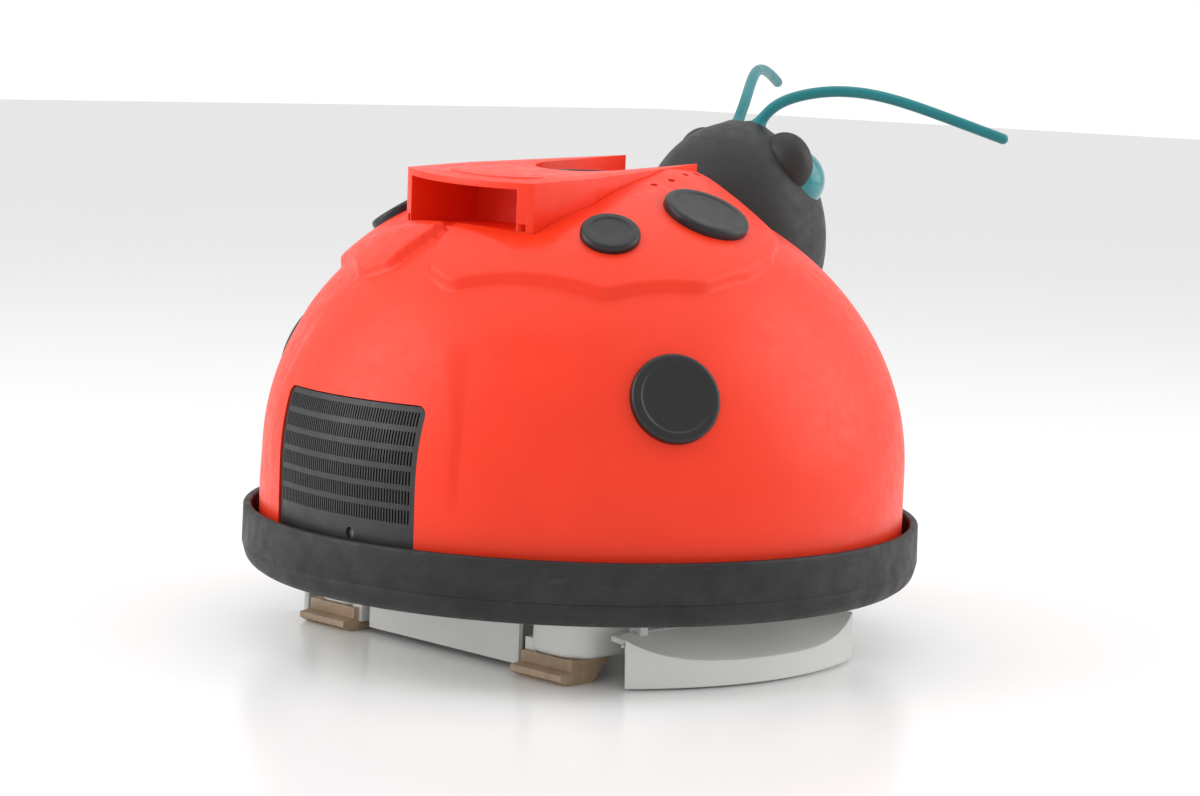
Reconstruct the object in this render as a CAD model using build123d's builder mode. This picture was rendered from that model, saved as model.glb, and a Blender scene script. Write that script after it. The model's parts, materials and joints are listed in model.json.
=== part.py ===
"""Suction pool cleaner shaped like a ladybird, as an assembly of separate pieces.

Millimetres, +Z up, the head looks along -Y, the floor is Z = 0. The body is round about a
vertical axis at X = 0, Y = axis_y, and the origin is on the floor below the middle of the
whole outline, antennas included. Positions given to level, across and facing are measured
from the body's axis.
"""

from math import atan2, cos, degrees, hypot, radians, sin, sqrt, tan
import os

from build123d import *

os.makedirs("parts", exist_ok=True)

# --- driving dimensions -------------------------------------------------------------------
axis_y = 22.5  # the body's axis stands behind the origin, because the antennas reach forward

ring_r = 175.0  # rubber bumper ring
ring_wall = 4.5
ring_top = 66.0
ring_seam = 46.0
ring_bottom = 34.4
ring_inner_r = 160.0

dome_r = 166.5  # shell, an upright half ellipsoid on a short straight skirt
dome_rise = 145.0
dome_mid = 93.3
shell_wall = 3.0
pad_rise = 4.5  # the raised wing cases on top of the shell

floor_z = 44.0  # underside of the lower body's floor plate
floor_t = 3.0
plate_r = 170.2
deck_z = floor_z + floor_t

turbine_z = 100.0  # drive turbine, across the body
chamber_r = 33.0
chamber_half = 31.0
case_half = 36.0
turbine_r = 31.0
shaft_r = 3.0
stroke = 3.9  # offset of the eccentrics on the turbine shaft
eccentric_r = 8.0

frame_x = 70.0  # A-frames, one each side
frame_t = 8.0
frame_pivot_z = 70.0
pod_pin_z = 28.0
pin_r = 3.0
fit_gap = 0.05  # radial clearance of a running fit

pod_x = 82.0
pod_w = 40.0
pod_half = 97.0
pod_bottom = 12.0
pod_top = 38.0
shoe_y = 89.0

wing_x = 110.0  # hinge lines of the side wings
wing_z = 24.0
wing_edge_r = 148.0  # a wing's wall follows a circle about the body's axis
wing_wall = 2.6
wing_fall = 0.27  # slope of a wing's top
wing_back = 84.0
wing_front = -66.0
skirt_y = 92.0  # hinge lines of the end skirts
skirt_z = 39.0
small_pin_r = 1.5

tube_y = 5.0  # outlet tube, hose cone and steering gears
tube_r = 18.0
tube_top = 206.0
cone_r = 21.25
cone_mouth_r = 17.5
cone_bore_r = 16.2
cone_top = 240.5
crown_r = 30.0
crown_teeth = 48
crown_tip_z = 207.0
crown_root_z = 209.6
crown_slot = 2.7
pinion_teeth = 12
pinion_module = 1.25
wheel_teeth = 40
steer_teeth = 10
wheel_module = 1.0
gear_y, gear_z = 5.0, 200.5
steer_y, steer_z = 20.0, 180.5
steer_r = 15.5

hood_back_y = 84.0  # the hood's top is a flat plate that climbs forward and leans a little
hood_back_z = 238.6
hood_half = 47.4
hood_lean = 0.035
hood_climb = 0.058
hood_plate = 3.2
channel_r = 26.0
channel_depth = 12.0

head_y = -105.0
head_z = 203.0
head_r = 51.0
head_half_height = 63.0
head_wall = 2.5
eye_spot = (30.0, -119.4, 236.7)
eye_r = 17.0
brow_spot = (30.0, -112.3, 243.7)
brow_radii = (17.0, 12.5, 18.5)
antenna_r = 3.0

sides = {"r": -1, "l": 1}  # the cleaner's own right side is -X
dome_axis = Axis((0, axis_y, 0), (0, 0, 1))


# --- planes measured from the body's axis -------------------------------------------------
def level(z, x=0, y=0):
    """Level plane at height z."""
    return Plane((x, axis_y + y, z))


def across(x, y=0, z=0):
    """Upright plane facing +X: its x runs rearward and its y runs up."""
    return Plane(origin=(x, axis_y + y, z), x_dir=(0, 1, 0), z_dir=(1, 0, 0))


def facing(y, x=0, z=0):
    """Upright plane facing the front: its x runs along X and its y runs up."""
    return Plane(origin=(x, axis_y + y, z), x_dir=(1, 0, 0), z_dir=(0, -1, 0))


hood_plane = Plane(
    origin=(0, axis_y + hood_back_y, hood_back_z),
    x_dir=(1, 0, hood_lean),
    z_dir=(-hood_lean, hood_climb, 1),
)


def finish(piece, label):
    """Name one finished piece and write it."""
    piece.part.label = label
    export_step(piece.part, f"parts/{label}.step")


# --- shared shapes ------------------------------------------------------------------------
def dome_solid(grow, base_z, mode=Mode.ADD):
    """The shell's outer form, grown by grow, as a solid standing on base_z."""
    with BuildSketch(facing(0)) as half:
        with Locations((0, dome_mid)):
            Ellipse(dome_r + grow, dome_rise + grow)
            Rectangle(400, 400, align=(Align.CENTER, Align.MAX), mode=Mode.SUBTRACT)
            Rectangle(200, 400, align=(Align.MAX, Align.CENTER), mode=Mode.SUBTRACT)
        with Locations((0, base_z)):
            Rectangle(dome_r + grow, dome_mid - base_z, align=(Align.MIN, Align.MIN))
    revolve(half.sketch, axis=dome_axis, mode=mode)


def egg(y, x, z, radius, half_height, mode=Mode.ADD):
    """An upright ellipsoid."""
    with BuildSketch(facing(y, x, z)) as half:
        Ellipse(radius, half_height)
        Rectangle(radius, 2 * half_height, align=(Align.MAX, Align.CENTER), mode=Mode.SUBTRACT)
    revolve(half.sketch, axis=Axis((x, axis_y + y, z), (0, 0, 1)), mode=mode)


def rod(x, y, z, radius, length, mode=Mode.ADD):
    """A cylinder along +X that starts at x."""
    with BuildSketch(across(x, y, z)) as end:
        Circle(radius)
    extrude(end.sketch, amount=length, mode=mode)


def post(x, y, z, radius, length, mode=Mode.ADD):
    """A cylinder along +Z that starts at height z."""
    with BuildSketch(level(z, x, y)) as end:
        Circle(radius)
    extrude(end.sketch, amount=length, mode=mode)


def rail(x, y, z, radius, length, mode=Mode.ADD):
    """A cylinder along -Y that starts at y."""
    with BuildSketch(facing(y, x, z)) as end:
        Circle(radius)
    extrude(end.sketch, amount=length, mode=mode)


def block(x0, x1, y0, y1, z0, z1, mode=Mode.ADD):
    """A box between two corners."""
    with BuildSketch(level(z0, (x0 + x1) / 2, (y0 + y1) / 2)) as base:
        Rectangle(x1 - x0, y1 - y0)
    extrude(base.sketch, amount=z1 - z0, mode=mode)


def gear_points(teeth, module, first_tooth):
    """Outline of a spur gear whose tooth number 0 points at first_tooth degrees."""
    pitch_r = teeth * module / 2
    tip_r, root_r = pitch_r + module, pitch_r - 1.2 * module
    step = 360 / teeth
    corners = [(-0.29, root_r), (-0.11, tip_r), (0.11, tip_r), (0.29, root_r)]
    points = []
    for tooth in range(teeth):
        for share, radius in corners:
            turn = radians(first_tooth + (tooth + share) * step)
            points.append((radius * cos(turn), radius * sin(turn)))
    return points


def spur(x, y, z, teeth, module, first_tooth, width):
    """A spur gear about an axis along X."""
    with BuildSketch(across(x, y, z)) as end:
        with BuildLine():
            Polyline(*gear_points(teeth, module, first_tooth), close=True)
        make_face()
    extrude(end.sketch, amount=width)


def surface_plane(x, y, rise):
    """Plane on the shell's outside, facing out, above the point x, y."""
    reach = hypot(x, y)
    a, b = dome_r + rise, dome_rise + rise
    height = b * sqrt(1 - (reach / a) ** 2)
    normal = (x / a**2, y / a**2, height / b**2)
    along = (-y, x, 0)
    return Plane(origin=(x, axis_y + y, dome_mid + height), x_dir=along, z_dir=normal)


def case_plan(side, z):
    """Plan of one raised wing case, at height z."""
    with BuildSketch(level(z)) as plan:
        with BuildLine():
            Line((side * 0.5, 96), (side * 8, 127))
            ThreePointArc((side * 8, 127), (side * 90, 91), (side * 122, 34))
            ThreePointArc((side * 122, 34), (side * 121, -2), (side * 98, -42))
            Polyline((side * 98, -42), (side * 22, -50), (side * 22, 30), (side * 0.5, 96))
        make_face()
        outer = plan.vertices().filter_by(lambda v: hypot(v.X, v.Y) > 100 and v.X * side < 115)
        fillet(outer, 9)
    return plan.sketch


def hood_plan(grow, z):
    """Plan of the hood, grown by grow, at height z."""
    corner = (hood_half + grow, hood_back_y)
    back = (0, hypot(hood_half, hood_back_y) + grow)
    with BuildSketch(level(z)) as plan:
        with BuildLine():
            ThreePointArc(corner, back, (-corner[0], corner[1]))
            Line((-corner[0], corner[1]), (-corner[0], 44))
            Line((-corner[0], 44), (-27 - grow, -49 - grow))
            Line((-27 - grow, -49 - grow), (27 + grow, -49 - grow))
            Line((27 + grow, -49 - grow), (corner[0], 44))
            Line((corner[0], 44), corner)
        make_face()
    return plan.sketch


# --- top shell ----------------------------------------------------------------------------
screw_ring = 150.0
screw_turns = [radians(a) for a in (40, 140, 220, 320)]
screw_spots = [(screw_ring * cos(a), screw_ring * sin(a)) for a in screw_turns]
spot_list = {
    "side": (138.6, 74.0, 0.0, 21.8),
    "rear": (79.2, 62.6, pad_rise, 14.7),
    "front": (85.0, 2.8, pad_rise, 22.0),
}
stem_r = 5.0
grille_half = 51.0
grille_top = 132.0
vent_spots = [(50, 3), (46, -12), (42, -25), (38, -36)]

with BuildPart() as cases:
    for side in sides.values():
        extrude(case_plan(side, 150), amount=120)
    dome_solid(pad_rise, 120, Mode.INTERSECT)

with BuildPart() as top_shell:
    dome_solid(0, deck_z)
    add(cases.part)
    dome_solid(-shell_wall, deck_z - 1, Mode.SUBTRACT)
    for x, y in screw_spots:
        post(x, y, 62, 6, 24)
        with BuildSketch(level(62)):
            with Locations(Location((x * 1.05, y * 1.05, 0), degrees(atan2(y, x)))):
                Rectangle(17, 4)
        extrude(amount=24)
        post(x, y, 61, 2.05, 20, Mode.SUBTRACT)
    extrude(hood_plan(0.3, 200), amount=80, mode=Mode.SUBTRACT)
    with BuildSketch(facing(100)):
        with Locations((0, grille_top / 2)):
            RectangleRounded(2 * grille_half + 0.6, grille_top + 0.6, 6)
    extrude(amount=-90, mode=Mode.SUBTRACT)
    for side in sides.values():
        for x, y, rise, size in spot_list.values():
            with BuildSketch(surface_plane(side * x, y, rise)):
                Circle(stem_r + 0.1)
            extrude(amount=14, both=True, mode=Mode.SUBTRACT)
        for x, y in vent_spots:
            post(side * x, y, 215, 2, 40, Mode.SUBTRACT)
finish(top_shell, "top_shell")

# --- hood with the finger grip and the hose channel ---------------------------------------
grip_front = 43.0
grip_side = 8.0
grip_floor = 213.5
hood_floor = 209.5

with BuildPart() as handle_hood:
    extrude(hood_plan(0, hood_floor), amount=60)
    with BuildSketch(hood_plane):
        Rectangle(400, 400)
    extrude(amount=60, mode=Mode.SUBTRACT)
    block(-60, 60, -70, grip_front - 2, 190, 224, Mode.SUBTRACT)
    with BuildSketch(hood_plane.offset(-hood_plate)):
        with Locations((0, grip_front - hood_back_y)):
            Rectangle(2 * (hood_half - grip_side), 80, align=(Align.CENTER, Align.MIN))
    extrude(amount=-60, mode=Mode.SUBTRACT)
    extrude(hood_plan(0, hood_floor), amount=grip_floor - hood_floor)
    block(-60, 60, -70, grip_front - 2, 190, 224, Mode.SUBTRACT)
    with BuildSketch(hood_plane):
        with Locations((0, tube_y - hood_back_y)):
            Circle(channel_r)
            Rectangle(2 * channel_r, 80, align=(Align.CENTER, Align.MAX))
    extrude(amount=-channel_depth, mode=Mode.SUBTRACT)
    post(0, tube_y, 200, cone_r + 0.6, 60, Mode.SUBTRACT)
finish(handle_hood, "handle_hood")

# --- rubber bumper ring -------------------------------------------------------------------
with BuildPart() as bumper_ring:
    with BuildSketch(facing(0)):
        with BuildLine():
            Line((ring_r - ring_wall, ring_top), (ring_r, ring_top))
            Line((ring_r, ring_top), (ring_r, ring_seam))
            ThreePointArc((ring_r, ring_seam), (ring_r - 2.4, ring_seam - 7.8), (ring_r - 7, ring_bottom))
            Line((ring_r - 7, ring_bottom), (ring_inner_r, ring_bottom))
            Line((ring_inner_r, ring_bottom), (ring_inner_r, floor_z))
            Line((ring_inner_r, floor_z), (ring_r - ring_wall, floor_z))
            Line((ring_r - ring_wall, floor_z), (ring_r - ring_wall, ring_top))
        make_face()
        fillet(vertices().group_by(Axis.Y)[-1], 1.2)
    revolve(axis=dome_axis)
finish(bumper_ring, "bumper_ring")

# --- rear grille --------------------------------------------------------------------------
slot_rows = 6
slot_columns = 17
row_pitch = 9.3

with BuildPart() as rear_grille:
    dome_solid(-0.4, deck_z)
    dome_solid(-2.8, deck_z - 1, Mode.SUBTRACT)
    with BuildSketch(facing(100)):
        with Locations((0, grille_top / 2)):
            RectangleRounded(2 * grille_half, grille_top, 6)
    extrude(amount=-90, mode=Mode.INTERSECT)
    with BuildSketch(facing(100, 0, 102.5)):
        with GridLocations(5.3, row_pitch, slot_columns, slot_rows):
            Rectangle(2.2, 6.6)
    extrude(amount=-90, mode=Mode.SUBTRACT)
finish(rear_grille, "rear_grille")

# --- black spots, snapped into the shell --------------------------------------------------
for place, (x, y, rise, size) in spot_list.items():
    for name, side in sides.items():
        seat = surface_plane(side * x, y, rise)
        with BuildPart() as spot:
            with BuildSketch(seat.offset(-3)):
                Circle(size)
            extrude(amount=6.4)
            fillet(edges().filter_by(GeomType.CIRCLE).sort_by(Axis(seat.origin, seat.z_dir))[-1], 1.6)
            dome_solid(rise, 40, Mode.SUBTRACT)
            with BuildSketch(seat.offset(-9)):
                Circle(stem_r)
            extrude(amount=10)
        finish(spot, f"spot_{place}_{name}")

# --- head, brows, eyes and antennas -------------------------------------------------------
antenna_routes = {
    "r": [
        (5.5, -109, 254), (9.6, -114, 271), (19, -125.5, 281),
        (34, -143, 286), (61, -176, 280), (94, -215.5, 262),
    ],
    "l": [
        (5.5, -109, 254), (10.5, -119, 272), (22, -137, 284),
        (38, -158, 293), (57, -184, 296), (76, -216, 287),
    ],
}


def antenna_points(name):
    """The antenna's route, from its socket in the head to its tip."""
    return [Vector(sides[name] * x, axis_y + y, z) for x, y, z in antenna_routes[name]]


with BuildPart() as head:
    egg(head_y, 0, head_z, head_r, head_half_height)
    egg(head_y, 0, head_z, head_r - head_wall, head_half_height - head_wall, Mode.SUBTRACT)
    dome_solid(pad_rise + 0.1, 40, Mode.SUBTRACT)
    for name in sides:
        root, bend = antenna_points(name)[:2]
        with BuildSketch(Plane(origin=root, z_dir=bend - root)):
            Circle(antenna_r)
        extrude(amount=14, mode=Mode.SUBTRACT)
finish(head, "head")

eye_x, eye_y, eye_z = eye_spot
brow_x, brow_y, brow_z = brow_spot
for name, side in sides.items():
    with BuildPart() as eye:
        with Locations((side * eye_x, axis_y + eye_y, eye_z)):
            Sphere(eye_r)
        egg(head_y, 0, head_z, head_r, head_half_height, Mode.SUBTRACT)
    finish(eye, f"eye_{name}")

    lobe = scale(Sphere(1), by=brow_radii, mode=Mode.PRIVATE)
    with BuildPart() as brow:
        add(Location((side * brow_x, axis_y + brow_y, brow_z)) * lobe)
        egg(head_y, 0, head_z, head_r, head_half_height, Mode.SUBTRACT)
        with Locations((side * eye_x, axis_y + eye_y, eye_z)):
            Sphere(eye_r + fit_gap, mode=Mode.SUBTRACT)
        add(solids().sort_by(SortBy.VOLUME)[-1], mode=Mode.REPLACE)
    finish(brow, f"brow_{name}")

for name in sides:
    route = antenna_points(name)
    runs = [(b - a).length for a, b in zip(route, route[1:])]
    bends = []
    for i in range(1, len(route) - 1):
        turn = (route[i] - route[i - 1]).get_angle(route[i + 1] - route[i])
        bends.append(0.45 * min(runs[i - 1], runs[i]) / tan(radians(turn / 2)))
    with BuildPart() as antenna:
        with BuildLine():
            FilletPolyline(*route, radius=bends)
        with BuildSketch(Plane(origin=route[0], z_dir=route[1] - route[0])):
            Circle(antenna_r - 0.1)
        sweep()
    finish(antenna, f"antenna_{name}")

# --- lower body: floor plate, throat and the lower half of the turbine case ---------------
lug_w = 5.0
lug_reach = 3.5  # how far a lug reaches below its pin
wing_lugs = [-48.0, 8.0, 64.0]
skirt_lugs = [-40.0, 40.0]
case_screws = [(30, 44), (-30, 44), (30, -44), (-30, -44)]

with BuildPart() as lower_body:
    post(0, 0, floor_z, plate_r, floor_t)
    post(0, 0, deck_z, 163.2, 11)
    post(0, 0, deck_z, 160.2, 11, Mode.SUBTRACT)
    for x, y in screw_spots:
        post(x, y, deck_z, 6, 14.8)
    block(-case_half, case_half, -38, 38, deck_z, turbine_z)
    block(-case_half, case_half, -50, 50, 92, turbine_z)
    for side in sides.values():
        for inner in (56.5, 79.5):
            low, high = sorted((side * inner, side * (inner + 5)))
            block(low, high, -8, 8, deck_z, 79)
    for side in sides.values():
        for y in wing_lugs:
            low = wing_z - lug_reach
            block(side * wing_x - 4, side * wing_x + 4, y - lug_w / 2, y + lug_w / 2, low, floor_z)
        for x in skirt_lugs:
            low = skirt_z - lug_reach
            block(x - lug_w / 2, x + lug_w / 2, side * skirt_y - 4, side * skirt_y + 4, low, floor_z)
    # cuts
    rod(-chamber_half, 0, turbine_z, chamber_r, 2 * chamber_half, Mode.SUBTRACT)
    block(-26, 26, -20, 20, floor_z - 1, turbine_z, Mode.SUBTRACT)
    rod(-case_half - 1, 0, turbine_z, 5.02, 2 * case_half + 2, Mode.SUBTRACT)
    for x, y in screw_spots:
        post(x, y, floor_z - 1, 2.2, 30, Mode.SUBTRACT)
    for x, y in case_screws:
        post(x, y, 88, 2.05, 20, Mode.SUBTRACT)
    for side in sides.values():
        low, high = sorted((side * (frame_x - 6.5), side * (frame_x + 6.5)))
        block(low, high, -24, 24, floor_z - 1, deck_z + 1, Mode.SUBTRACT)
        rod(min(side * 55, side * 86), 0, frame_pivot_z, pin_r + 0.02, 31, Mode.SUBTRACT)
        rail(side * wing_x, wing_back, wing_z, small_pin_r + 0.02, wing_back - wing_front, Mode.SUBTRACT)
        rod(-50, side * skirt_y, skirt_z, small_pin_r + 0.02, 100, Mode.SUBTRACT)
finish(lower_body, "lower_body")

# --- middle body: upper half of the case, outlet tube and steering pocket ------------------
with BuildPart() as middle_body:
    rod(-case_half, 0, turbine_z, 37, 2 * case_half)
    block(-case_half, case_half, -50, 50, turbine_z, turbine_z + 4)
    block(-60, 60, -60, 60, 50, turbine_z, Mode.SUBTRACT)
    post(0, tube_y, 125, tube_r + 3, tube_top - 125)
    rod(-15.5, steer_y, steer_z, steer_r + 4, 31)
    rod(15, steer_y, steer_z, 4, 7)
    rod(19, gear_y, gear_z, 4, 7)
    # cuts
    rod(-chamber_half, 0, turbine_z, chamber_r, 2 * chamber_half, Mode.SUBTRACT)
    post(0, tube_y, 118, tube_r, 100, Mode.SUBTRACT)
    rod(-12, steer_y, steer_z, steer_r + 1, 24, Mode.SUBTRACT)
    rod(-16, steer_y, steer_z, small_pin_r + 0.06, 40, Mode.SUBTRACT)
    rod(19, gear_y, gear_z, small_pin_r + 0.02, 8, Mode.SUBTRACT)
    rod(-case_half - 1, 0, turbine_z, 5.02, 2 * case_half + 2, Mode.SUBTRACT)
    for x, y in case_screws:
        post(x, y, turbine_z - 1, 2.2, 6, Mode.SUBTRACT)
finish(middle_body, "middle_body")

# --- drive turbine ------------------------------------------------------------------------
with BuildPart(across(0, 0, turbine_z)) as turbine_rotor:
    Cylinder(9, 56)
    with PolarLocations(19, 6):
        Box(23, 2.4, 52)
    with Locations((0, 0, 27), (0, 0, -27)):
        Cylinder(turbine_r - 1, 2)
    Cylinder(shaft_r, 60, mode=Mode.SUBTRACT)
finish(turbine_rotor, "turbine_rotor")

with BuildPart() as turbine_shaft:
    rod(-80, 0, turbine_z, shaft_r, 160)
    chamfer(edges().filter_by(GeomType.CIRCLE), 0.5)
finish(turbine_shaft, "turbine_shaft")

for name, side in sides.items():
    with BuildPart() as bearing:
        rod(min(side * 30.6, side * 36), 0, turbine_z, 5, 5.4)
        rod(min(side * 36, side * 38), 0, turbine_z, 7.5, 2)
        rod(-50, 0, turbine_z, shaft_r + fit_gap, 100, Mode.SUBTRACT)
    finish(bearing, f"turbine_bearing_{name}")

    with BuildPart() as eccentric:
        rod(side * frame_x - 5.5, 0, turbine_z - side * stroke, eccentric_r, 11)
        rod(side * frame_x - 6, 0, turbine_z, shaft_r, 12, Mode.SUBTRACT)
    finish(eccentric, f"eccentric_{name}")

# --- walking gear: A-frames, pods and shoes -----------------------------------------------
for name, side in sides.items():
    with BuildPart() as a_frame:
        with BuildSketch(across(side * frame_x - frame_t / 2)):
            with Locations((0, turbine_z)):
                RectangleRounded(43, 36, 14)
            with Locations((0, frame_pivot_z)):
                Circle(8)
            with Locations((0, pod_pin_z)):
                Circle(6)
            with BuildLine():
                Polyline((-17, 92), (17, 92), (5, 66), (5, 30), (-5, 30), (-5, 66), close=True)
            make_face()
            with Locations((0, turbine_z)):
                RectangleRounded(33, 26, 10, mode=Mode.SUBTRACT)
            with Locations((0, frame_pivot_z)):
                Circle(pin_r + fit_gap, mode=Mode.SUBTRACT)
        extrude(amount=frame_t)
        rod(side * frame_x - frame_t / 2, 0, pod_pin_z, 6, frame_t)
        rod(side * frame_x - 7, 0, pod_pin_z, pin_r + fit_gap, 14, Mode.SUBTRACT)
    finish(a_frame, f"a_frame_{name}")

    with BuildPart() as pod:
        with BuildSketch(level(pod_bottom, side * pod_x)):
            RectangleRounded(pod_w, 2 * pod_half, 15)
        extrude(amount=pod_top - pod_bottom)
        fillet(faces().sort_by(Axis.Z)[0].edges(), 3)
        block(side * pod_x - 17, side * pod_x + 17, -62, 62, 19.5, pod_top + 1, Mode.SUBTRACT)
        rod(side * pod_x - 21, 0, pod_pin_z, pin_r + 0.02, 42, Mode.SUBTRACT)
        for end in (-1, 1):
            block(side * pod_x - 8, side * pod_x + 8, end * shoe_y - 5, end * shoe_y + 5, 6, pod_bottom + 4)
            tab = sorted((side * (pod_x - 19.5), side * (pod_x - 12)))
            block(tab[0], tab[1], end * 90 - 4, end * 90 + 4, 5, 18)
    finish(pod, f"pod_{name}")

    with BuildPart() as pod_pin:
        rod(side * pod_x - 20, 0, pod_pin_z, pin_r, 40)
    finish(pod_pin, f"pod_pin_{name}")

    for end_name, end in {"front": -1, "rear": 1}.items():
        with BuildPart() as shoe:
            with BuildSketch(across(side * pod_x - 17)):
                with BuildLine():
                    Polyline(
                        (end * 72, pod_bottom - 0.02), (end * 80, 2.5), (end * 83, 0), (end * 99, 0),
                        (end * 104, 2.5), (end * 104, 5.5), (end * 97, 6.5),
                        (end * 97, pod_bottom - 0.02), close=True,
                    )
                make_face()
            extrude(amount=36)
            key = sorted((side * (pod_x - 8), side * (pod_x + 8)))
            block(key[0], key[1], end * shoe_y - 5, end * shoe_y + 5, 6, 20, Mode.SUBTRACT)
            cut = sorted((side * (pod_x - 19.6), side * (pod_x - 11.9)))
            block(cut[0], cut[1], end * 90 - 4.1, end * 90 + 4.1, 4.9, 20, Mode.SUBTRACT)
        finish(shoe, f"shoe_{end_name}_{name}")

with BuildPart() as frame_pins:
    for side in sides.values():
        rod(min(side * 55.5, side * 85.5), 0, frame_pivot_z, pin_r, 30)
finish(frame_pins, "frame_pins")

# --- side wings and end skirts ------------------------------------------------------------
knuckle_r = 3.4
knuckle_inset = 6.0  # the hinge stops short of the ends
skirt_half = 57.0


def wing_wedge(side, inset):
    """All that lies inset below a wing's sloping top and within its wall."""
    start, length = wing_back + inset, wing_back - wing_front + 2 * inset
    inner, outer = wing_x - inset, wing_edge_r + 5
    top = wing_z + wing_wall / 2 - inset
    corners = [
        (side * inner, top + wing_fall * inset),
        (side * outer, top - wing_fall * (outer - wing_x)),
        (side * outer, 1 - inset),
        (side * inner, 1 - inset),
    ]
    with BuildSketch(facing(start)) as end:
        with BuildLine():
            Polyline(*corners, close=True)
        make_face()
    extrude(end.sketch, amount=length)
    post(0, 0, -10, wing_edge_r - inset, 60, Mode.INTERSECT)


for name, side in sides.items():
    with BuildPart() as hollow:
        wing_wedge(side, wing_wall)
    with BuildPart() as wing:
        wing_wedge(side, 0)
        add(hollow.part, mode=Mode.SUBTRACT)
        hinge = wing_back - wing_front - 2 * knuckle_inset
        rail(side * wing_x, wing_back - knuckle_inset, wing_z, knuckle_r, hinge)
        for y in wing_lugs:
            low, high = sorted((side * (wing_x - 8), side * (wing_x + 6.5)))
            block(low, high, y - 3.4, y + 3.4, wing_z - 8, wing_z + 8, Mode.SUBTRACT)
        rail(side * wing_x, wing_back, wing_z, small_pin_r + fit_gap, wing_back - wing_front, Mode.SUBTRACT)
    finish(wing, f"wing_{name}")

for name, side in {"rear": 1, "front": -1}.items():
    with BuildPart() as skirt:
        block(-skirt_half, skirt_half, side * skirt_y - 1.3, side * skirt_y + 1.3, 3, skirt_z)
        rod(-skirt_half + 4, side * skirt_y, skirt_z, knuckle_r, 2 * skirt_half - 8)
        for x in skirt_lugs:
            block(x - 3.4, x + 3.4, side * skirt_y - 6, side * skirt_y + 6, skirt_z - 8, 44, Mode.SUBTRACT)
        rod(-skirt_half, side * skirt_y, skirt_z, small_pin_r + fit_gap, 2 * skirt_half, Mode.SUBTRACT)
    finish(skirt, f"skirt_{name}")

with BuildPart() as wing_pins:
    for side in sides.values():
        rail(side * wing_x, wing_back - 8, wing_z, small_pin_r, wing_back - wing_front - 16)
finish(wing_pins, "wing_pins")

with BuildPart() as skirt_pins:
    for side in sides.values():
        rod(-50, side * skirt_y, skirt_z, small_pin_r, 100)
finish(skirt_pins, "skirt_pins")

# --- hose cone and its steering train -----------------------------------------------------
cone_axis = Axis((0, axis_y + tube_y, 0), (0, 0, 1))

with BuildPart() as cone_bushing:
    post(0, tube_y, 196, tube_r - 0.02, tube_top - 196)
    post(0, tube_y, tube_top, 20.8, 1.5)
    post(0, tube_y, 195, 16.0 + fit_gap, 15, Mode.SUBTRACT)
finish(cone_bushing, "cone_bushing")

with BuildPart() as hose_cone:
    with BuildSketch(facing(tube_y)):
        with BuildLine():
            Polyline(
                (13.8, 196), (16.0, 196), (16.0, 207.8), (18.7, 207.8), (18.7, 233.4), (cone_r, 233.4),
                (cone_r, 236.5), (cone_mouth_r, cone_top), (cone_bore_r, cone_top), (cone_bore_r, 210.5),
                (13.8, 210.5), close=True,
            )
        make_face()
    revolve(axis=cone_axis)
finish(hose_cone, "hose_cone")

with BuildPart(level(0, 0, tube_y)) as cone_gear:
    post(0, tube_y, crown_tip_z, crown_r + 3, 212 - crown_tip_z)
    post(0, tube_y, crown_tip_z, crown_r - 3, crown_root_z - crown_tip_z, Mode.SUBTRACT)
    post(0, tube_y, crown_tip_z, 18.72, 20, Mode.SUBTRACT)
    with PolarLocations(crown_r, crown_teeth):
        with Locations((0, 0, (crown_tip_z + crown_root_z) / 2)):
            Box(7, crown_slot, crown_root_z - crown_tip_z, mode=Mode.SUBTRACT)
finish(cone_gear, "cone_gear")

mesh_angle = degrees(atan2(steer_z - gear_z, steer_y - gear_y))
with BuildPart() as reduction_gear:
    rod(26.6, gear_y, gear_z, 4, 13.6)
    spur(27.5, gear_y, gear_z, pinion_teeth, pinion_module, 90, 5)
    spur(36, gear_y, gear_z, wheel_teeth, wheel_module, mesh_angle + 180 / wheel_teeth, 4)
    rod(20, gear_y, gear_z, small_pin_r + 0.06, 30, Mode.SUBTRACT)
finish(reduction_gear, "reduction_gear")

with BuildPart() as gear_axle:
    rod(20, gear_y, gear_z, small_pin_r, 21.5)
    rod(40.6, gear_y, gear_z, 3, 1.2)
finish(gear_axle, "gear_axle")

with BuildPart() as steer_shaft:
    rod(-15, steer_y, steer_z, small_pin_r, 56)
finish(steer_shaft, "steer_shaft")

with BuildPart() as steer_pinion:
    spur(35.6, steer_y, steer_z, steer_teeth, wheel_module, mesh_angle + 180, 4.8)
    rod(35, steer_y, steer_z, small_pin_r, 6, Mode.SUBTRACT)
finish(steer_pinion, "steer_pinion")

with BuildPart(across(0, steer_y, steer_z)) as steer_turbine:
    Cylinder(5, 22)
    with PolarLocations(9.5, 6):
        Box(11, 1.6, 22)
    Cylinder(small_pin_r, 30, mode=Mode.SUBTRACT)
finish(steer_turbine, "steer_turbine")

# --- screws -------------------------------------------------------------------------------
with BuildPart() as shell_screws:
    for x, y in screw_spots:
        post(x, y, floor_z - 2.5, 4, 2.5)
        post(x, y, floor_z - 1, 2, 36)
finish(shell_screws, "shell_screws")

with BuildPart() as case_screws_set:
    for x, y in case_screws:
        post(x, y, turbine_z + 4, 3.8, 2.8)
        post(x, y, 89, 2, 16)
finish(case_screws_set, "case_screws")
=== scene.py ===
"""The looks of the walking pool cleaner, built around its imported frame.

Points are written in millimetres from the body's own upright axis: x towards the cleaner's left,
y towards its rear and z up from the floor. add_mesh() turns them into metres in the row frame.
The right side is the -x side.
"""

import json
from math import asin, atan2, cos, hypot, pi, radians, sin, sqrt, tan

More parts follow.
